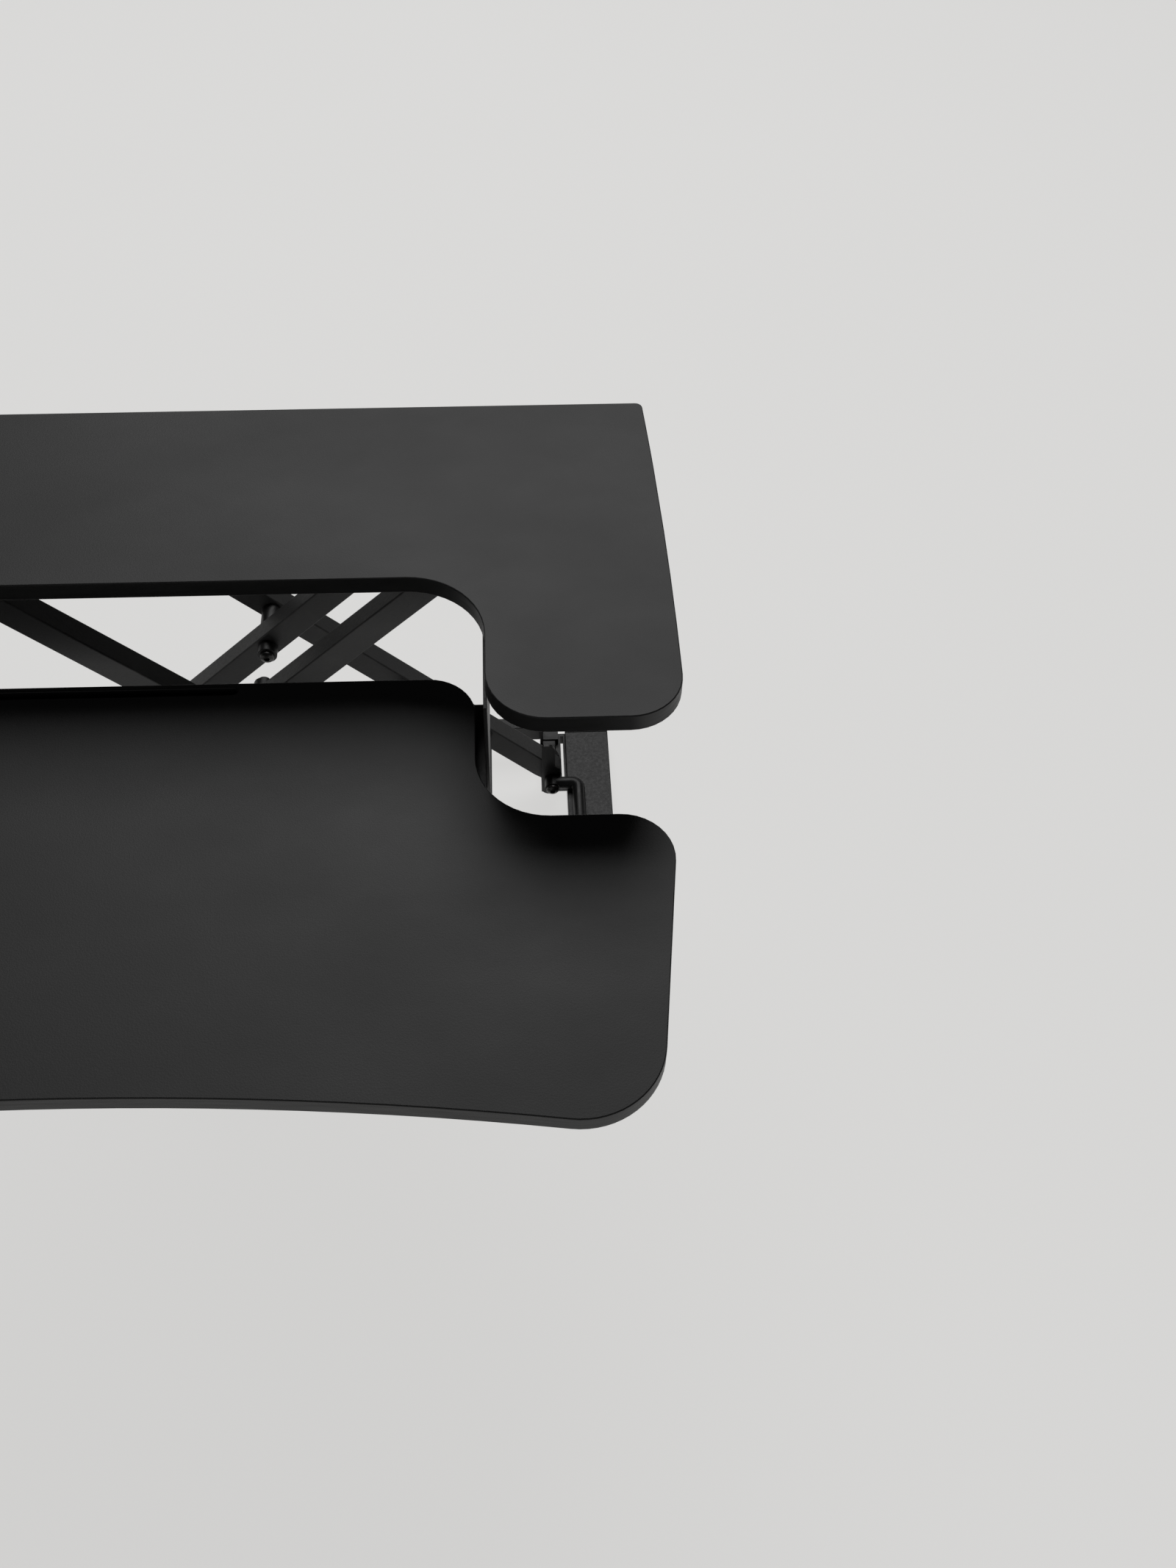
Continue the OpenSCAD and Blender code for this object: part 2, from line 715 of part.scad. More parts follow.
module keyboard_tray() {
    half = concat(
        bend(neck_w / 2 - neck_r, tray_rear - neck_r, neck_r, 90, 0),
        bend(neck_w / 2 + neck_fillet_r, tray_shoulder + neck_fillet_r, neck_fillet_r, 180, 270, 12),
        bend(tray_side(tray_shoulder - tray_rear_r) - tray_rear_r / cos(tray_taper),
             tray_shoulder - tray_rear_r, tray_rear_r, 90, -tray_taper),
        bend(front_corner_x, front_corner_y, tray_front_r, -tray_taper, front_corner_end, 16));
    reach = front_corner_end + 180;
    front = bend(0, hollow_y, tray_front_hollow_r, reach, 180 - reach, 24);
    inner = [for (i = [1:len(front) - 2]) front[i]];
    slot_y = tray_rear - slot_ledge - slot_w;
    color(BOARD) difference() {
        translate([0, 0, tray_bottom]) linear_extrude(tray_t)
            polygon(concat(half, inner, flip(half)));
        translate([0, 0, tray_top - slot_depth]) {
            block([-slot_len / 2 + slot_w / 2, slot_y, 0],
                  [slot_len / 2 - slot_w / 2, slot_y + slot_w, slot_depth + 1]);
            for (x = [-1, 1])
                translate([x * (slot_len - slot_w) / 2, slot_y + slot_w / 2, 0])
                    cylinder(d = slot_w, h = slot_depth + 1);
        }
    }
}

top_track_front_y = outer_front_back + 2;
top_track_rear_y = outer_rear_y - 2 - track_d;

module top_track(y, dir) {
    track(top_track_x, y, top_pivot_z, top_pivot_z - track_in / 2 - track_lip, desk_bottom, dir);
}

module top_track_front() { top_track(top_track_front_y, -1); }
module top_track_rear() { top_track(top_track_rear_y, 1); }

module top_track_stops() {
    stops(top_track_x, top_track_front_y, top_pivot_z, -1);
    stops(top_track_x, top_track_rear_y, top_pivot_z, 1);
}

// Angle bracket under the desktop with one ear beside an inner arm
module top_bracket(y_ear, y_flange) {
    color(STEEL) union() {
        block([top_pivot_x - top_bracket_half, min(y_flange), desk_bottom - sheet],
              [top_pivot_x + top_bracket_half, max(y_flange), desk_bottom]);
        ear(top_pivot_x, y_ear, top_pivot_z, desk_bottom, bolt_r);
    }
}

module top_bracket_front() {
    y_ear = inner_front_back + ear_gap;
    top_bracket(y_ear, [y_ear, middle_y - 1]);
}

module top_bracket_rear() {
    y_ear = inner_rear_y - ear_gap - sheet;
    top_bracket(y_ear, [middle_y + 1, y_ear + sheet]);
}

module upper_pivot_bolts() {
    y_front = inner_front_y - face_gap;
    y_rear = inner_rear_back + face_gap;
    color(BLACKENED) union() {
        dome_y(top_pivot_x, y_front, top_pivot_z, head_r, head_h, -1);
        rod_y(top_pivot_x, y_front, inner_front_back + ear_gap + sheet + nut_h + 1, top_pivot_z, bolt_r);
    }
    color(BLACKENED) union() {
        dome_y(top_pivot_x, y_rear, top_pivot_z, head_r, head_h, 1);
        rod_y(top_pivot_x, inner_rear_y - ear_gap - sheet - nut_h - 1, y_rear, top_pivot_z, bolt_r);
    }
}

module upper_pivot_nuts() {
    color(BLACKENED) nut_y(top_pivot_x, inner_front_back + ear_gap + sheet, top_pivot_z);
    color(BLACKENED) nut_y(top_pivot_x, inner_rear_y - ear_gap - sheet - nut_h, top_pivot_z);
}

module desktop_screws() {
    z = desk_bottom - sheet;
    for (x = [-1, 1], y = [-1, 1])
        pan_head(top_pivot_x + x * bracket_screws[0], middle_y + y * bracket_screws[1], z, -1);
    for (side = [-1, 1]) {
        for (y = [hanger_y[0] + hanger_top_setback + desk_screw_inset, hanger_y[1] - desk_screw_inset])
            pan_head(side * (hanger_x + hanger_top - desk_screw_inset), y, z, -1);
        for (y = [paddle_y[0] + housing_screw_inset, paddle_y[1] - housing_screw_inset])
            pan_head(side * (paddle_pin_x - housing_screw_x), y, z, -1);
    }
}

// Bent plate that hangs the tray under a lobe
module tray_hanger(side) {
    y0 = hanger_y[0];
    y1 = hanger_y[1];
    foot_z = tray_bottom - sheet;
    color(STEEL) on_side(side) union() {
        block([hanger_x, y0, foot_z], [hanger_x + sheet, y1, desk_bottom]);
        block([hanger_x - hanger_foot, y0, foot_z], [hanger_x, y1, tray_bottom]);
        block([hanger_x + sheet, y0 + hanger_top_setback, desk_bottom - sheet],
              [hanger_x + hanger_top, y1, desk_bottom]);
    }
}

module tray_hanger_left() { tray_hanger(-1); }
module tray_hanger_right() { tray_hanger(1); }

module tray_screws() {
    inset = tray_screw_inset;
    for (side = [-1, 1], x = [inset, hanger_foot - inset], y = [hanger_y[0] + inset, hanger_y[1] - inset])
        pan_head(side * (hanger_x - x), y, tray_bottom - sheet, -1);
}

// ---------- release paddles ----------

module paddle_housing(side) {
    lug_half = 6;
    color(STEEL) on_side(side) difference() {
        union() {
            block([housing_x[0], paddle_y[0] - sheet, desk_bottom - sheet],
                  [housing_x[1], paddle_y[1] + sheet, desk_bottom]);
            for (y = [paddle_y[0] - sheet, paddle_y[1]])
                block([paddle_pin_x - lug_half, y, paddle_pin_z - lug_half],
                      [paddle_pin_x + lug_half, y + sheet, desk_bottom - sheet]);
        }
        rod_y(paddle_pin_x, paddle_y[0] - 10, paddle_y[1] + 10, paddle_pin_z, paddle_pin_r);
    }
}

module paddle_housing_left() { paddle_housing(-1); }
module paddle_housing_right() { paddle_housing(1); }

module paddle_pins() {
    for (side = [-1, 1])
        color(BLACKENED) rod_y(side * paddle_pin_x, paddle_y[0] - sheet - pin_overhang,
                          paddle_y[1] + sheet + pin_overhang, paddle_pin_z, paddle_pin_r);
}

// Coil of close turns around each paddle's pin
module paddle_springs() {
    turn_r = paddle_pin_r + spring_wire / 2 + face_gap;
    pitch = spring_wire * 0.9;
    turns = floor(spring_len / spring_wire) - 1;
    mid = (paddle_y[0] + paddle_y[1]) / 2;
    for (side = [-1, 1])
        color(BLACKENED) translate([side * paddle_pin_x, mid + turns * pitch / 2, paddle_pin_z])
            rotate([90, 0, 0]) for (i = [0:turns])
                translate([0, 0, i * pitch]) rotate_extrude()
                    translate([turn_r, 0]) circle(d = spring_wire, $fn = 16);
}

module paddle(side) {
    y0 = paddle_y[0] + face_gap;
    y1 = paddle_y[1] - face_gap;
    mid = (y0 + y1) / 2;
    blade_z = paddle_pin_z - paddle_hub_r;
    color(DARK) on_side(side) difference() {
        union() {
            rod_y(paddle_pin_x, y0, y1, paddle_pin_z, paddle_hub_r);
            block([paddle_pin_x, y0, blade_z], [paddle_pin_x + paddle_reach, y1, blade_z + paddle_blade_t]);
            rod_y(paddle_pin_x + paddle_reach, y0, y1, blade_z + paddle_blade_t / 2, paddle_grip_r);
        }
        rod_y(paddle_pin_x, y0 - 1, y1 + 1, paddle_pin_z, paddle_pin_r + pin_gap);
        block([paddle_pin_x - 10, mid - spring_len / 2, blade_z - 1],
              [paddle_pin_x + 6, mid + spring_len / 2, paddle_pin_z + 10]);
    }
}

module paddle_left() { paddle(-1); }
module paddle_right() { paddle(1); }

// ---------- gas strut ----------

// Round bar along X
module rod_x(x0, x1, r) {
    translate([x0, middle_y, strut_z]) rotate([0, 90, 0]) cylinder(r = r, h = x1 - x0);
}

module strut_cylinder() {
    post_y = middle_y - 7;
    color(STEEL) difference() {
        union() {
            rod_y(strut_eye_x, middle_y - eye_w / 2, middle_y + eye_w / 2, strut_z, eye_r);
            rod_x(cyl_end, strut_eye_x, cyl_r);
            block([lever_x - lever_post[1], post_y, strut_z],
                  [lever_x + lever_post[1], post_y + lever_post[0], lever_z + lever_half_w]);
            rod_y(lever_x, post_y, middle_y + lever_post[1], lever_z, lever_pin_r);
        }
        rod_y(strut_eye_x, middle_y - eye_w, middle_y + eye_w, strut_z, tube_r + pin_gap);
        rod_x(cyl_end - 1, strut_eye_x - cyl_head, cyl_bore_r);
    }
}

module strut_gland() {
    color(DARK) difference() {
        union() {
            rod_x(cyl_end, cyl_end + gland_len, cyl_bore_r);
            rod_x(cyl_end - gland_rim, cyl_end, cyl_r);
        }
        rod_x(cyl_end - gland_rim - 1, cyl_end + gland_len + 1, rod_r + pin_gap);
    }
}

module strut_rod() {
    rod_start = rod_eye_x + tube_r + 1;
    color(CHROME) difference() {
        union() {
            rod_y(rod_eye_x, middle_y - eye_w / 2, middle_y + eye_w / 2, strut_z, eye_r);
            rod_x(rod_start, rod_start + rod_len, rod_r);
            rod_x(rod_start + rod_len - piston_len, rod_start + rod_len, piston_r);
        }
        rod_y(rod_eye_x, middle_y - eye_w, middle_y + eye_w, strut_z, tube_r + pin_gap);
    }
}

// Lever that opens the strut's valve when a paddle is squeezed
module strut_release_lever() {
    y0 = middle_y - 2.5;
    color(DARK) difference() {
        union() {
            rod_y(lever_x, y0, y0 + lever_t, lever_z, lever_hub_r);
            block([lever_x - lever_half_w, y0, lever_z],
                  [lever_x + lever_half_w, y0 + lever_t, lever_z + lever_len]);
        }
        rod_y(lever_x, y0 - 1, y0 + lever_t + 1, lever_z, lever_pin_r + pin_gap);
    }
}

base_rail_left();
base_rail_right();
rail_end_caps();
rubber_feet();
front_cross_member();
rear_cross_member();
back_cross_member();
base_track_front();
base_track_rear();
base_track_stops();
pivot_bracket_front();
pivot_bracket_rear();
pivot_tie_tube();
lower_pivot_bolts();
lower_pivot_nuts();
base_screws();
outer_arm_front();
outer_arm_rear();
outer_lower_tube();
outer_strut_tube();
outer_lower_bushes();
centre_pivot_bolts();
centre_spacers();
centre_pivot_nuts();
upper_roller_axles();
inner_arm_front();
inner_arm_rear();
inner_upper_tube();
inner_strut_tube();
centre_bushes();
upper_bushes();
lower_roller_axles();
upper_roller_front();
upper_roller_rear();
lower_roller_front();
lower_roller_rear();
desktop();
top_track_front();
top_track_rear();
top_track_stops();
top_bracket_front();
top_bracket_rear();
upper_pivot_bolts();
upper_pivot_nuts();
desktop_screws();
tray_hanger_left();
tray_hanger_right();
tray_screws();
keyboard_tray();
paddle_housing_left();
paddle_housing_right();
paddle_pins();
paddle_springs();
paddle_left();
paddle_right();
strut_cylinder();
strut_gland();
strut_rod();
strut_release_lever();
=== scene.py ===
"""Standing desk converter: looks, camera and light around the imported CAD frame. Metres."""

import json
import math

import bmesh
import bpy
from mathutils import Matrix, Vector, noise


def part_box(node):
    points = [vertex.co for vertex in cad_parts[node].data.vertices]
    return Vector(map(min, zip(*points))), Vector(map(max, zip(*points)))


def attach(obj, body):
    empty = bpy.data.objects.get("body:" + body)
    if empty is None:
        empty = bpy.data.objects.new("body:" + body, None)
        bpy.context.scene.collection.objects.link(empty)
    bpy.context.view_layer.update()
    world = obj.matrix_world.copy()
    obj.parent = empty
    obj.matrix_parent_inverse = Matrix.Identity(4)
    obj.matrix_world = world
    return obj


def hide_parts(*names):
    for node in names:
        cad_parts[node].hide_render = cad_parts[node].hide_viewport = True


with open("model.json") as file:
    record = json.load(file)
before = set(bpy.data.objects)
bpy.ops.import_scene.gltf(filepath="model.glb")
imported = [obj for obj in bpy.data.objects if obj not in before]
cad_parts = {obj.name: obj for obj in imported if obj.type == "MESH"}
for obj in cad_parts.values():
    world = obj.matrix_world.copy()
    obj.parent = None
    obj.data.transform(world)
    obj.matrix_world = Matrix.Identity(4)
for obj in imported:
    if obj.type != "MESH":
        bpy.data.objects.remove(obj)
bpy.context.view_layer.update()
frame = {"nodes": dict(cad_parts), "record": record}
NODES = frame["nodes"]
BODY_OF = {n: b for b, ns in frame["record"]["behaviour"]["bodies"].items() for n in ns}
SLOT_OF = {s["node"]: s["material_slot"] for s in frame["record"]["subparts"]}
scene = bpy.context.scene
MM = 0.001
WELD_GAP = 0.002 * MM  # points nearer than this are merged
FLAT = math.radians(0.6)  # faces that meet at less than this are joined
SHARP = math.radians(32)  # edges sharper than this are rounded
BOARD_EDGE, ARM_EDGE, RAIL_EDGE = 1.0 * MM, 1.4 * MM, 2.2 * MM
MEMBER_EDGE, SHEET_EDGE, BRACKET_EDGE = 1.2 * MM, 0.7 * MM, 0.6 * MM
PIN_REACH = 8 * MM  # edges this near a pin's axis stay sharp
WELD_BEAD, WELD_INSET, WELD_RIPPLES = 1.6 * MM, 0.8 * MM, 30
BOLT_R, HEAD_R, HEAD_H = 4 * MM, 6.5 * MM, 5 * MM
SOCKET_R, SOCKET_DEPTH = 2.9 * MM, 2.4 * MM
BOLT_CHAMFER, NUT_CHAMFER = 0.7 * MM, 0.9 * MM
RECESS_REACH, RECESS_HALF, RECESS_DEPTH = 2.0 * MM, 0.45 * MM, 1.3 * MM
SPRING_R = 0.54 * MM  # of the wire
RIBS, RIB_FIRST, RIB_PITCH, RIB_R = 5, 11, 3.4, 0.9 * MM  # first and pitch in millimetres
CROSS_TUBES = ("outer_lower_tube", "outer_strut_tube", "inner_upper_tube", "inner_strut_tube")
FRONT, BACK, DOWN, UP = Vector((0, -1, 0)), Vector((0, 1, 0)), Vector((0, 0, -1)), Vector((0, 0, 1))


# ---------------------------------------------------------------- materials


class Nodes:
    """Short calls for building one material's node tree."""

    def __init__(self, name):
        self.material = bpy.data.materials.new(name)
        self.material.use_nodes = True
        self.tree = self.material.node_tree
        self.shader = self.tree.nodes["Principled BSDF"]
        self.coords = self.tree.nodes.new("ShaderNodeTexCoord").outputs["Object"]

    def set(self, **values):
        """Numbers and colours that are the same all over."""
        for key, value in values.items():
            self.shader.inputs[key.replace("_", " ")].default_value = value
        return self

    def noise(self, scale, detail=3.0, rough=0.55, stretch=(1, 1, 1)):
        mapping = self.tree.nodes.new("ShaderNodeMapping")
        mapping.inputs["Scale"].default_value = stretch
        self.tree.links.new(self.coords, mapping.inputs["Vector"])
        tex = self.tree.nodes.new("ShaderNodeTexNoise")
        tex.inputs["Scale"].default_value = scale
        tex.inputs["Detail"].default_value = detail
        tex.inputs["Roughness"].default_value = rough
        self.tree.links.new(mapping.outputs["Vector"], tex.inputs["Vector"])
        return tex.outputs["Fac"]

    def cells(self, scale):
        tex = self.tree.nodes.new("ShaderNodeTexVoronoi")
        tex.inputs["Scale"].default_value = scale
        self.tree.links.new(self.coords, tex.inputs["Vector"])
        return tex.outputs["Distance"]

    def ramp(self, source, low, high, start=0.3, end=0.7):
        """Maps a texture to numbers between low and high."""
        node = self.tree.nodes.new("ShaderNodeMapRange")
        node.inputs["From Min"].default_value = start
        node.inputs["From Max"].default_value = end
        node.inputs["To Min"].default_value = low
        node.inputs["To Max"].default_value = high
        self.tree.links.new(source, node.inputs["Value"])
        return node.outputs["Result"]

    def tint(self, source, dark, light, start=0.3, end=0.7):
        """Maps a texture to a colour between dark and light."""
        node = self.tree.nodes.new("ShaderNodeValToRGB")
        first, last = node.color_ramp.elements
        first.position, first.color = start, (*dark, 1)
        last.position, last.color = end, (*light, 1)
        self.tree.links.new(source, node.inputs["Fac"])
        return node.outputs["Color"]

    def blend(self, colour, over, amount):
        """Lays a colour over another, as much as a texture says."""
        node = self.tree.nodes.new("ShaderNodeMix")
        node.data_type = "RGBA"
        self.tree.links.new(amount, node.inputs["Factor"])
        self.tree.links.new(colour, node.inputs["A"])
        node.inputs["B"].default_value = (*over, 1)
        return node.outputs["Result"]

    def link(self, socket, source):
        self.tree.links.new(source, self.shader.inputs[socket])
        return self

    def bump(self, *layers):
        """Stacks bump layers: each is (texture, strength, distance)."""
        last = None
        for source, strength, distance in layers:
            node = self.tree.nodes.new("ShaderNodeBump")
            node.inputs["Strength"].default_value = strength
            node.inputs["Distance"].default_value = distance
            self.tree.links.new(source, node.inputs["Height"])
            if last is not None:
                self.tree.links.new(last, node.inputs["Normal"])
            last = node.outputs["Normal"]
        self.tree.links.new(last, self.shader.inputs["Normal"])
        return self


def grey(value, warm=0.0):
    return (value * (1 + warm), value, value * (1 - warm))


def laminate():
    """Matt black laminate with a fine pressed grain and faint handling marks."""
    n = Nodes("laminate").set(Metallic=0.0, IOR=1.45)
    mottle = n.noise(3, 3)
    grain = n.cells(700)
    fleck = n.noise(1500, 2)
    smudge = n.noise(6, 4, 0.6, (1, 1.6, 1))
    colour = n.tint(mottle, grey(0.0335), grey(0.0365))
    n.link("Base Color", n.blend(colour, grey(0.058), n.ramp(fleck, 0.0, 0.25, 0.55, 0.8)))
    n.link("Roughness", n.ramp(smudge, 0.54, 0.60))
    return n.bump((grain, 0.14, 0.0004), (fleck, 0.10, 0.0002)).material


def shaded_edge_band():
    """Smoother plastic band glued round the boards' edges, slightly polished by hands; its colour is
    kept darker than the top as painted shade on the boards' sides.
    """
    n = Nodes("shaded_edge_band").set(Metallic=0.0, IOR=1.38)
    streak = n.noise(30, 3, 0.5, (1, 1, 14))
    fine = n.noise(900, 2)
    # painted shade: the band's dark tone, well below the laminate's, stands for the shade on the
    # boards' sides
    n.link("Base Color", n.tint(streak, grey(0.010), grey(0.014)))
    n.link("Roughness", n.ramp(streak, 0.42, 0.54))
    return n.bump((fine, 0.08, 0.0002)).material


def backing():
    """Dull backing paper under the boards."""
    n = Nodes("backing").set(Metallic=0.0, IOR=1.35)
    fibre = n.noise(260, 4, 0.6, (1, 5, 1))
    n.link("Base Color", n.tint(fibre, grey(0.012), grey(0.019)))
    n.link("Roughness", n.ramp(fibre, 0.74, 0.88))
    return n.bump((fibre, 0.12, 0.0003)).material


def powder_coat(name, wear):
    """Satin black powder coat with orange peel; wear is how much of it is rubbed."""
    n = Nodes(name).set(Metallic=0.0, IOR=1.42)
    peel = n.noise(420, 3, 0.5)
    speck = n.cells(1300)
    rub = n.noise(38, 6, 0.65)
    colour = n.tint(peel, grey(0.0135), grey(0.0175))
    n.link("Base Color", n.blend(colour, grey(0.045, 0.03), n.ramp(rub, 0.0, wear, 0.52, 0.78)))
    n.link("Roughness", n.ramp(peel, 0.44, 0.56))
    return n.bump((peel, 0.20, 0.0005), (speck, 0.10, 0.0002)).material


def shaded_bracket_paint():
    """Semi-gloss black dip paint of the small stampings, a little uneven; its colour is kept darker
    than the frame's powder coat, partly as painted shade.
    """
    n = Nodes("shaded_bracket_paint").set(Metallic=0.0, IOR=1.36)
    runs = n.noise(55, 4, 0.6, (1, 1, 0.3))
    grit = n.noise(700, 2)
    # painted shade: this tone, darker than the powder coat, stands partly for the shade on the pivot
    # brackets, tie tube and spacers
    n.link("Base Color", n.tint(runs, grey(0.007), grey(0.011)))
    n.link("Roughness", n.ramp(runs, 0.36, 0.50))
    return n.bump((grit, 0.12, 0.0003)).material


def moulded_plastic():
    """Black moulded plastic with a spark-eroded texture."""
    n = Nodes("moulded_plastic").set(Metallic=0.0, IOR=1.46)
    spark = n.cells(1100)
    cloud = n.noise(18, 3)
    n.link("Base Color", n.tint(cloud, grey(0.011), grey(0.017)))
    n.link("Roughness", n.ramp(cloud, 0.48, 0.58))
    return n.bump((spark, 0.25, 0.0003)).material


def rubber():
    """Soft black rubber with dust in its pores."""
    n = Nodes("rubber").set(Metallic=0.0, IOR=1.5)
    dust = n.noise(70, 5, 0.7)
    pores = n.noise(1400, 2)
    n.link("Base Color", n.tint(dust, grey(0.010), grey(0.022)))
    n.link("Roughness", n.ramp(dust, 0.78, 0.92))
    return n.bump((pores, 0.2, 0.0003)).material


def black_oxide():
    """Blackened steel fasteners, rubbed brighter here and there."""
    n = Nodes("black_oxide").set(Metallic=0.8)
    patch = n.noise(160, 4, 0.6)
    turned = n.noise(900, 2, 0.5, (1, 6, 1))
    n.link("Base Color", n.tint(patch, grey(0.030), grey(0.075, 0.02)))
    n.link("Roughness", n.ramp(turned, 0.28, 0.42))
    return n.bump((turned, 0.10, 0.0001)).material


def nylon():
    """Dark nylon of bushes and rollers with fine running marks."""
    n = Nodes("nylon").set(Metallic=0.0, IOR=1.5)
    cloud = n.noise(90, 3)
    rub = n.noise(500, 2, 0.5, (1, 9, 1))
    n.link("Base Color", n.tint(cloud, grey(0.026), grey(0.038)))
    n.link("Roughness", n.ramp(rub, 0.34, 0.50))
    return n.bump((rub, 0.10, 0.0002)).material


def chrome_rod():
    """Hard chrome with an oil film and hair-fine lengthwise marks."""
    n = Nodes("chrome_rod").set(Metallic=1.0)
    marks = n.noise(700, 3, 0.5, (0.02, 1, 1))
    film = n.noise(35, 4)
    n.link("Base Color", n.tint(film, grey(0.55), grey(0.66)))
    n.link("Roughness", n.ramp(marks, 0.08, 0.20))
    return n.bump((marks, 0.05, 0.0001)).material


def strut_paint():
    """Glossy black enamel of a gas strut's cylinder."""
    n = Nodes("strut_paint").set(Metallic=0.0, IOR=1.5, Coat_Weight=0.5, Coat_Roughness=0.08)
    flow = n.noise(120, 3)
    n.link("Base Color", n.tint(flow, grey(0.010), grey(0.015)))
    n.link("Roughness", n.ramp(flow, 0.22, 0.32))
    return n.bump((flow, 0.06, 0.0003)).material


def weld_metal():
    """Painted weld bead with its ripples."""
    n = Nodes("weld_metal").set(Metallic=0.0, IOR=1.45)
    ripple = n.noise(300, 3, 0.6)
    n.link("Base Color", n.tint(ripple, grey(0.012), grey(0.020)))
    n.link("Roughness", n.ramp(ripple, 0.42, 0.58))
    return n.bump((ripple, 0.3, 0.0005)).material


def spring_steel():
    """Oiled dark spring wire with drawing marks."""
    n = Nodes("spring_steel").set(Metallic=0.9)
    drawn = n.noise(1200, 3, 0.6, (1, 8, 1))
    n.link("Base Color", n.tint(drawn, grey(0.07), grey(0.13)))
    n.link("Roughness", n.ramp(drawn, 0.25, 0.40))
    return n.bump((drawn, 0.08, 0.0001)).material


LAMINATE, EDGE, BACKING = laminate(), shaded_edge_band(), backing()
POWDER, POWDER_EDGE = powder_coat("powder_coat", 0.25), powder_coat("powder_coat_edges", 0.75)
BRACKET, PLASTIC, RUBBER = shaded_bracket_paint(), moulded_plastic(), rubber()
OXIDE, NYLON, CHROME = black_oxide(), nylon(), chrome_rod()
ENAMEL, WELD, SPRING = strut_paint(), weld_metal(), spring_steel()
MATERIAL_OF_SLOT = {
    "board": LAMINATE, "frame_steel": POWDER, "black_plastic": PLASTIC, "rubber": RUBBER,
    "blackened_steel": OXIDE, "nylon": NYLON, "chrome_rod": CHROME,
}


# ---------------------------------------------------------------- mesh helpers


def new_piece(name, bm, material, body):
    """Turns a bmesh into a piece that rides on a body."""
    mesh = bpy.data.meshes.new(name)
    bmesh.ops.recalc_face_normals(bm, faces=bm.faces)
    for edge in bm.edges:
        edge.smooth = edge.calc_face_angle(0) < SHARP
    bm.to_mesh(mesh)
    bm.free()
    mesh.polygons.foreach_set("use_smooth", [True] * len(mesh.polygons))
    obj = bpy.data.objects.new(name, mesh)
    scene.collection.objects.link(obj)
    mesh.materials.append(material)
    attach(obj, body)
    return obj


def replacement(node, bm, material, suffix):
    """A piece that stands for a CAD node."""
    obj = new_piece(node + suffix, bm, material, BODY_OF[node])
    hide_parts(node)
    return obj


def near_axis(edge, spots, reach):
    """True if an edge lies within reach of one of the Y-wise axes at spots (x, z)."""
    mid = (edge.verts[0].co + edge.verts[1].co) / 2
    return any(math.hypot(mid.x - x, mid.z - z) < reach for x, z in spots)


def rounded(node, radius, material, worn=None, steps=3, skip=(), skip_reach=0.0):
    """A copy of a CAD node with its sharp edges rounded; stands for the node."""
    bm = bmesh.new()
    bm.from_mesh(NODES[node].data)
    bmesh.ops.remove_doubles(bm, verts=bm.verts, dist=WELD_GAP)
    bmesh.ops.dissolve_limit(bm, angle_limit=FLAT, verts=bm.verts, edges=bm.edges)
    weight = bm.edges.layers.float.new("bevel_weight_edge")
    for edge in bm.edges:
        sharp = edge.calc_face_angle(0) > SHARP
        edge[weight] = 1.0 if sharp and not near_axis(edge, skip, skip_reach) else 0.0
    obj = replacement(node, bm, material, "_skin")
    if worn:
        obj.data.materials.append(worn)
    bevel = obj.modifiers.new("edges", "BEVEL")
    bevel.limit_method = "WEIGHT"
    bevel.width = radius
    bevel.segments = steps
    bevel.use_clamp_overlap = True
    bevel.harden_normals = True
    bevel.material = 1 if worn else -1
    return obj


def islands(node):
    """The separate solids of a CAD node, each as a list of points."""
    bm = bmesh.new()
    bm.from_mesh(NODES[node].data)
    bmesh.ops.remove_doubles(bm, verts=bm.verts, dist=WELD_GAP)
    bm.verts.ensure_lookup_table()
    seen, groups = set(), []
    for start in bm.verts:
        if start.index in seen:
            continue
        seen.add(start.index)
        stack, group = [start], []
        while stack:
            vert = stack.pop()
            group.append(vert.co.copy())
            for edge in vert.link_edges:
                other = edge.other_vert(vert)
                if other.index not in seen:
                    seen.add(other.index)
                    stack.append(other)
        groups.append(group)
    bm.free()
    return groups


def span(points):
    """Lowest and highest corner of some points."""
    low = Vector([min(p[i] for p in points) for i in range(3)])
    high = Vector([max(p[i] for p in points) for i in range(3)])
    return low, high


def y_axis(points):
    """Where the Y-wise axis of a round solid stands, as x and z."""
    low, high = span(points)
    return (low.x + high.x) / 2, (low.z + high.z) / 2


def placed(origin, direction):
    """Matrix that takes +Z to direction at origin."""
    return Matrix.Translation(origin) @ direction.to_track_quat("Z", "Y").to_matrix().to_4x4()


def turned(bm, place, profile, turns=48):
    """Adds a solid of rings; a ring is (radius or a function of the angle, height), 0 is a point."""
    rings = []
    for radius, height in profile:
        if radius == 0:
            rings.append([bm.verts.new(place @ Vector((0, 0, height)))])
            continue
        ring = []
        for i in range(turns):
            angle = 2 * math.pi * i / turns
            r = radius(angle) if callable(radius) else radius
            point = Vector((r * math.cos(angle), r * math.sin(angle), height))
            ring.append(bm.verts.new(place @ point))
        rings.append(ring)
    for lower, upper in zip(rings, rings[1:]):
        for i in range(turns):
            j = (i + 1) % turns
            face = (lower[i % len(lower)], lower[j % len(lower)],
                    upper[j % len(upper)], upper[i % len(upper)])
            corners = list(dict.fromkeys(face))
            if len(corners) > 2:
                bm.faces.new(corners)


def hexagon(across):
    """Outline of a hexagon by angle; across is from its middle to a corner."""
    return lambda a: across * math.cos(math.pi / 6) / math.cos((a % (math.pi / 3)) - math.pi / 6)


def cross(reach, half):
    """Outline of a cross recess by angle."""
    def radius(a):
        c, s = max(abs(math.cos(a)), 1e-6), max(abs(math.sin(a)), 1e-6)
        return max(min(reach / c, half / s), min(reach / s, half / c))
    return radius


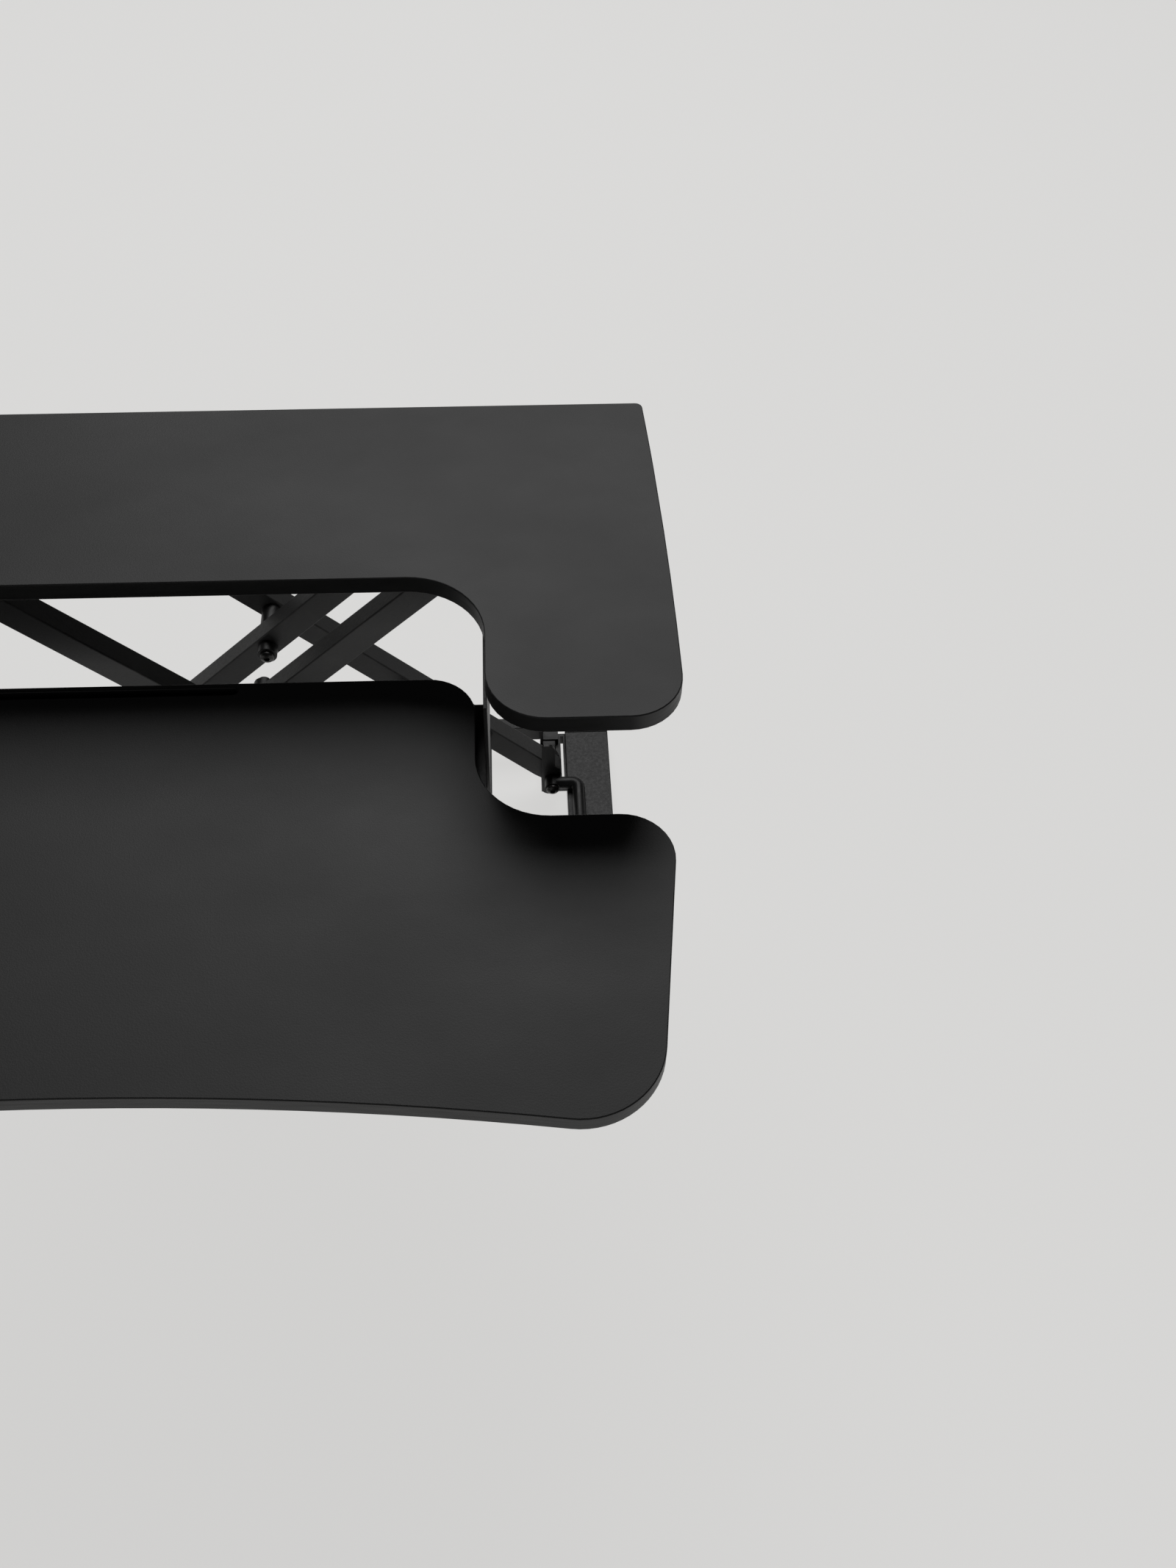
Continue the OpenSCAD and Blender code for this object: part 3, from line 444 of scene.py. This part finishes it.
def dome(radius, height, recess, depth, steps=7):
    """Rings of a domed head from its seat up, with a recess in its top."""
    rim = height * 0.4
    rings = [(radius * 0.96, 0), (radius, rim * 0.25)]
    for i in range(steps):
        t = i / steps * math.pi / 2
        if radius * math.cos(t) > recess(0) * 1.2:
            rings.append((radius * math.cos(t), rim + (height - rim) * math.sin(t)))
    lip = rings[-1][1] + (height - rings[-1][1]) * 0.8
    rings.append((lambda a: recess(a) * 1.06, lip))
    rings.append((recess, lip - 0.15 * MM))
    rings.append((recess, lip - depth))
    rings.append((0, lip - depth * 1.15))
    return rings


def wire(bm, points, radius, sides=10):
    """Adds a round wire along a path, closed at both ends."""
    rings = []
    for i, point in enumerate(points):
        ahead = points[min(i + 1, len(points) - 1)] - points[max(i - 1, 0)]
        place = placed(point, ahead.normalized())
        rings.append([bm.verts.new(place @ Vector((radius * math.cos(a), radius * math.sin(a), 0)))
                      for a in (2 * math.pi * k / sides for k in range(sides))])
    for lower, upper in zip(rings, rings[1:]):
        shift = min(range(sides), key=lambda k: (upper[k].co - lower[0].co).length)
        for k in range(sides):
            m = (k + 1) % sides
            bm.faces.new((lower[k], lower[m], upper[(m + shift) % sides], upper[(k + shift) % sides]))
    bm.faces.new(reversed(rings[0]))
    bm.faces.new(rings[-1])


# ---------------------------------------------------------------- pieces


def board(node, radius):
    """A board: laminate on top, plastic band round the edge painted darker as shade, backing paper
    below.
    """
    obj = rounded(node, radius, LAMINATE, EDGE, steps=4)
    mesh = obj.data
    mesh.materials.append(BACKING)
    for face in mesh.polygons:
        # the side faces take the band, whose darker colour is painted shade
        if abs(face.normal.z) < 0.5:
            face.material_index = 1
        elif face.normal.z < 0:
            face.material_index = 2


def build_boards():
    board("desktop", BOARD_EDGE)
    board("keyboard_tray", BOARD_EDGE)


def y_axes(*nodes):
    """Axes (x, z) of the solids in some nodes of Y-wise pins or bushes."""
    return [y_axis(group) for node in nodes for group in islands(node)]


def build_arms():
    """Rectangular tube arms with rounded corners."""
    pins = y_axes("outer_lower_bushes", "centre_bushes", "upper_bushes", "upper_roller_axles",
                  "lower_roller_axles")
    for node in ("outer_arm_front", "outer_arm_rear", "inner_arm_front", "inner_arm_rear"):
        rounded(node, ARM_EDGE, POWDER, POWDER_EDGE, steps=4, skip=pins, skip_reach=PIN_REACH)


def weld_ring(name, centre, radius, body, seed):
    """A rippled ring of weld round a tube's end, about a Y-wise axis."""
    bm = bmesh.new()
    place = placed(centre, BACK)
    around, section = 96, 10
    rings = []
    for i in range(around):
        a = 2 * math.pi * i / around
        wobble = 1 + 0.22 * noise.noise(Vector((math.cos(a) * 3, math.sin(a) * 3, seed)))
        size = WELD_BEAD * 0.55 * wobble * (1 + 0.10 * math.sin(a * WELD_RIPPLES))
        ring = []
        for k in range(section):
            b = 2 * math.pi * k / section
            r = radius + size * math.cos(b)
            point = Vector((r * math.cos(a), r * math.sin(a), size * math.sin(b)))
            ring.append(bm.verts.new(place @ point))
        rings.append(ring)
    for i in range(around):
        j = (i + 1) % around
        for k in range(section):
            m = (k + 1) % section
            bm.faces.new((rings[i][k], rings[j][k], rings[j][m], rings[i][m]))
    new_piece(name, bm, WELD, body)


def build_welds():
    """Beads where the cross tubes meet their arms."""
    for node in CROSS_TUBES:
        low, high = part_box(node)
        x, z, radius = (low[0] + high[0]) / 2, (low[2] + high[2]) / 2, (high[0] - low[0]) / 2
        for seed, y in ((1, low[1] + WELD_INSET), (2, high[1] - WELD_INSET)):
            weld_ring(f"{node}_weld_{seed}", Vector((x, y, z)), radius, BODY_OF[node], seed)


def build_sheet_metal():
    """Rails, channels and stampings with softly broken edges."""
    for node in ("base_rail_left", "base_rail_right"):
        rounded(node, RAIL_EDGE, POWDER, POWDER_EDGE, steps=4)
    for node in ("front_cross_member", "rear_cross_member", "back_cross_member"):
        rounded(node, MEMBER_EDGE, POWDER, POWDER_EDGE)
    for node in ("top_bracket_front", "top_bracket_rear", "tray_hanger_left", "tray_hanger_right",
                 "base_track_front", "base_track_rear", "top_track_front", "top_track_rear",
                 "paddle_housing_left", "paddle_housing_right"):
        rounded(node, SHEET_EDGE, POWDER, POWDER_EDGE)
    for node in ("pivot_bracket_front", "pivot_bracket_rear", "pivot_tie_tube", "centre_spacers"):
        rounded(node, BRACKET_EDGE, BRACKET)


def build_bolts():
    """Bolts with domed socket heads and chamfered ends."""
    for node in ("lower_pivot_bolts", "centre_pivot_bolts", "upper_pivot_bolts"):
        bm = bmesh.new()
        for group in islands(node):
            low, high = span(group)
            x, z = y_axis(group)
            ends = []
            for y, out in ((low.y, FRONT), (high.y, BACK)):
                tip = max(math.hypot(p.x - x, p.z - z) for p in group if abs(p.y - y) < 0.3 * MM)
                if tip < BOLT_R * 0.9:
                    seat = Vector((x, y, z)) - out * HEAD_H
                    socket = dome(HEAD_R, HEAD_H, hexagon(SOCKET_R), SOCKET_DEPTH)
                    turned(bm, placed(seat, out), [(0, 0)] + socket)
                    ends.append(seat)
                else:
                    ends.append(Vector((x, y, z)))
            length = (ends[1] - ends[0]).length
            cut = BOLT_CHAMFER
            turned(bm, placed(ends[0], BACK), [
                (0, 0), (BOLT_R - cut, 0), (BOLT_R, cut), (BOLT_R, length - cut),
                (BOLT_R - cut, length), (0, length)])
        replacement(node, bm, OXIDE, "_detail")


def build_nuts():
    """Hexagon nuts with chamfered corners and a bore for the bolt."""
    for node in ("lower_pivot_nuts", "centre_pivot_nuts", "upper_pivot_nuts"):
        bm = bmesh.new()
        for group in islands(node):
            low, high = span(group)
            x, z = y_axis(group)
            flats = hexagon((high.x - low.x) / 2)
            bearing = (high.z - low.z) / 2 * 0.99
            height, cut = high.y - low.y, NUT_CHAMFER
            turned(bm, placed(Vector((x, low.y, z)), BACK), [
                (BOLT_R, 0), (bearing, 0), (flats, cut), (flats, height - cut),
                (bearing, height), (BOLT_R, height), (BOLT_R, 0)], turns=72)
        bmesh.ops.remove_doubles(bm, verts=bm.verts, dist=WELD_GAP)
        replacement(node, bm, OXIDE, "_detail")


def build_screws():
    """Pan heads with a cross recess."""
    for node in ("desktop_screws", "tray_screws", "base_screws"):
        bm = bmesh.new()
        for group in islands(node):
            low, high = span(group)
            middle = (low + high) / 2
            wide = max(group, key=lambda p: math.hypot(p.x - middle.x, p.y - middle.y))
            out = DOWN if wide.z > middle.z else UP
            seat = Vector((middle.x, middle.y, high.z if out == DOWN else low.z))
            radius, height = (high.x - low.x) / 2, high.z - low.z
            head = dome(radius, height, cross(RECESS_REACH, RECESS_HALF), RECESS_DEPTH)
            turned(bm, placed(seat, out), [(0, 0)] + head, turns=64)
        replacement(node, bm, OXIDE, "_detail")


def build_feet():
    """Turned rubber feet with a soft rim and two rings underneath."""
    bm = bmesh.new()
    for group in islands("rubber_feet"):
        low, high = span(group)
        seat = Vector(((low.x + high.x) / 2, (low.y + high.y) / 2, low.z))
        wide, height = (high.x - low.x) / 2, high.z - low.z
        groove = 0.5 * MM
        turned(bm, placed(seat, UP), [
            (0, groove), (wide * 0.35, groove), (wide * 0.37, 0), (wide * 0.45, 0),
            (wide * 0.47, groove), (wide * 0.65, groove), (wide * 0.67, 0), (wide * 0.86, 0),
            (wide * 0.90, 0.3 * MM), (wide * 0.93, MM), (wide, height - 0.8 * MM),
            (wide * 0.97, height), (0, height)])
    replacement("rubber_feet", bm, RUBBER, "_detail")


def build_springs():
    """Torsion springs: a real helix of close turns around each pin."""
    bm = bmesh.new()
    for group in islands("paddle_springs"):
        low, high = span(group)
        x, z = y_axis(group)
        radius = (high.x - low.x) / 2 - SPRING_R
        start, end = low.y + SPRING_R, high.y - SPRING_R
        turns = round((end - start) / (2 * SPRING_R))
        steps = turns * 20
        points = []
        for i in range(steps + 1):
            a = 2 * math.pi * turns * i / steps
            y = start + (end - start) * i / steps
            points.append(Vector((x + radius * math.sin(a), y, z + radius * math.cos(a))))
        wire(bm, points, SPRING_R * 0.98)
    replacement("paddle_springs", bm, SPRING, "_detail")


def build_paddles():
    """Squeeze paddles with soft edges and ribs where the fingers pull."""
    for side in ("left", "right"):
        node = f"paddle_{side}"
        rounded(node, 0.8 * MM, PLASTIC)
        low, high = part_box(node)
        out = 1 if low[0] > 0 else -1
        edge = high[0] if out > 0 else low[0]
        bm = bmesh.new()
        rib = RIB_R
        for i in range(RIBS):
            x = edge - out * (RIB_FIRST + RIB_PITCH * i) * MM
            z = low[2] + 2.0 * MM
            ends = (Vector((x, low[1] + 5 * MM, z)), Vector((x, high[1] - 5 * MM, z)))
            length = (ends[1] - ends[0]).length
            turned(bm, placed(ends[0], BACK), [
                (0, 0), (rib * 0.6, rib * 0.2), (rib, rib), (rib, length - rib),
                (rib * 0.6, length - rib * 0.2), (0, length)], turns=16)
        new_piece(f"{node}_ribs", bm, PLASTIC, BODY_OF[node])


def build_small_parts():
    """Strut, stops, caps, rollers and axles with broken edges."""
    rounded("strut_cylinder", 0.6 * MM, ENAMEL)
    rounded("strut_rod", 0.4 * MM, CHROME)
    rounded("strut_gland", 0.4 * MM, PLASTIC)
    rounded("strut_release_lever", 0.7 * MM, PLASTIC)
    rounded("rail_end_caps", 1.4 * MM, PLASTIC, steps=4)
    for node in ("base_track_stops", "top_track_stops"):
        rounded(node, 1.2 * MM, RUBBER)
    for node in ("upper_roller_axles", "lower_roller_axles", "paddle_pins"):
        rounded(node, 0.4 * MM, OXIDE, steps=2)
    for node in ("upper_roller_front", "upper_roller_rear", "lower_roller_front", "lower_roller_rear"):
        rounded(node, 0.3 * MM, NYLON, steps=2)


def dress_cad():
    """Materials for the CAD nodes that keep their own shape."""
    for node, obj in NODES.items():
        obj.data.materials.clear()
        obj.data.materials.append(MATERIAL_OF_SLOT[SLOT_OF[node]])


# ---------------------------------------------------------------- stage

# The camera was fitted to the photo's edges. Angles are in radians, the lens in millimetres.
CAMERA_AT = Vector((0.3332, -0.8107, 1.384))
CAMERA_PITCH = 0.907
CAMERA_YAW = 0.034
CAMERA_ROLL = 0.004
CAMERA_LENS = 37.19
CAMERA_SENSOR = 36
CAMERA_SHIFT_X = 0.0247
CAMERA_CLIP = (0.05, 60)
FLOOR_HALF = 12
FLOOR_GLOW = 0.63
WORLD_FADE = {"From Min": 0.05, "From Max": 0.35, "To Min": 0.62, "To Max": 0.05}


def build_camera():
    forward = Vector((math.sin(CAMERA_YAW) * math.cos(CAMERA_PITCH),
                      math.cos(CAMERA_YAW) * math.cos(CAMERA_PITCH), -math.sin(CAMERA_PITCH)))
    right = Vector((math.cos(CAMERA_YAW), -math.sin(CAMERA_YAW), 0))
    up = right.cross(forward)
    right_rolled = math.cos(CAMERA_ROLL) * right + math.sin(CAMERA_ROLL) * up
    up_rolled = math.cos(CAMERA_ROLL) * up - math.sin(CAMERA_ROLL) * right
    data = bpy.data.cameras.new("camera")
    data.lens = CAMERA_LENS
    data.sensor_width = CAMERA_SENSOR
    data.shift_x = CAMERA_SHIFT_X
    data.clip_start, data.clip_end = CAMERA_CLIP
    obj = bpy.data.objects.new("camera", data)
    rotation = Matrix((right_rolled, up_rolled, -forward)).transposed()
    obj.matrix_world = Matrix.Translation(CAMERA_AT) @ rotation.to_4x4()
    scene.collection.objects.link(obj)
    scene.camera = obj


def area_light(name, at, look, size, power):
    data = bpy.data.lights.new(name, "AREA")
    data.shape = "RECTANGLE"
    data.size, data.size_y = size
    data.energy = power
    obj = bpy.data.objects.new(name, data)
    obj.location = at
    obj.rotation_mode = "QUATERNION"
    obj.rotation_quaternion = (Vector(look) - Vector(at)).to_track_quat("-Z", "Y")
    scene.collection.objects.link(obj)


def build_floor():
    """Pale floor that glows a little, so its shadows stay faint."""
    n = Nodes("floor_paint").set(Metallic=0.0, Roughness=0.9, IOR=1.2)
    cloud = n.noise(1.5, 2)
    n.link("Base Color", n.tint(cloud, grey(0.15), grey(0.16)))
    n.set(Emission_Color=(1.0, 0.993, 0.98, 1), Emission_Strength=FLOOR_GLOW)
    bm = bmesh.new()
    bmesh.ops.create_grid(bm, x_segments=1, y_segments=1, size=FLOOR_HALF)
    mesh = bpy.data.meshes.new("floor")
    bm.to_mesh(mesh)
    bm.free()
    mesh.materials.append(n.material)
    obj = bpy.data.objects.new("floor", mesh)
    scene.collection.objects.link(obj)


def build_light():
    """A dim world, fading towards the ceiling, with a large softbox behind and above."""
    world = bpy.data.worlds.new("studio")
    world.use_nodes = True
    tree = world.node_tree
    coords = tree.nodes.new("ShaderNodeTexCoord")
    split = tree.nodes.new("ShaderNodeSeparateXYZ")
    fade = tree.nodes.new("ShaderNodeMapRange")
    for socket, value in WORLD_FADE.items():
        fade.inputs[socket].default_value = value
    tree.links.new(coords.outputs["Generated"], split.inputs["Vector"])
    tree.links.new(split.outputs["Z"], fade.inputs["Value"])
    tree.links.new(fade.outputs["Result"], tree.nodes["Background"].inputs["Strength"])
    scene.world = world
    area_light("back_softbox", at=(0.35, 2.0, 2.9), look=(0, 0, 0.4), size=(2.4, 2.0), power=52)
    area_light("front_fill", at=(-0.6, -2.4, 1.4), look=(0, 0, 0.3), size=(2.5, 1.5), power=5)
    scene.view_settings.view_transform = "Standard"
    scene.view_settings.look = "None"


dress_cad()
build_camera()
build_floor()
build_light()
build_boards()
build_arms()
build_welds()
build_sheet_metal()
build_bolts()
build_nuts()
build_screws()
build_feet()
build_springs()
build_paddles()
build_small_parts()
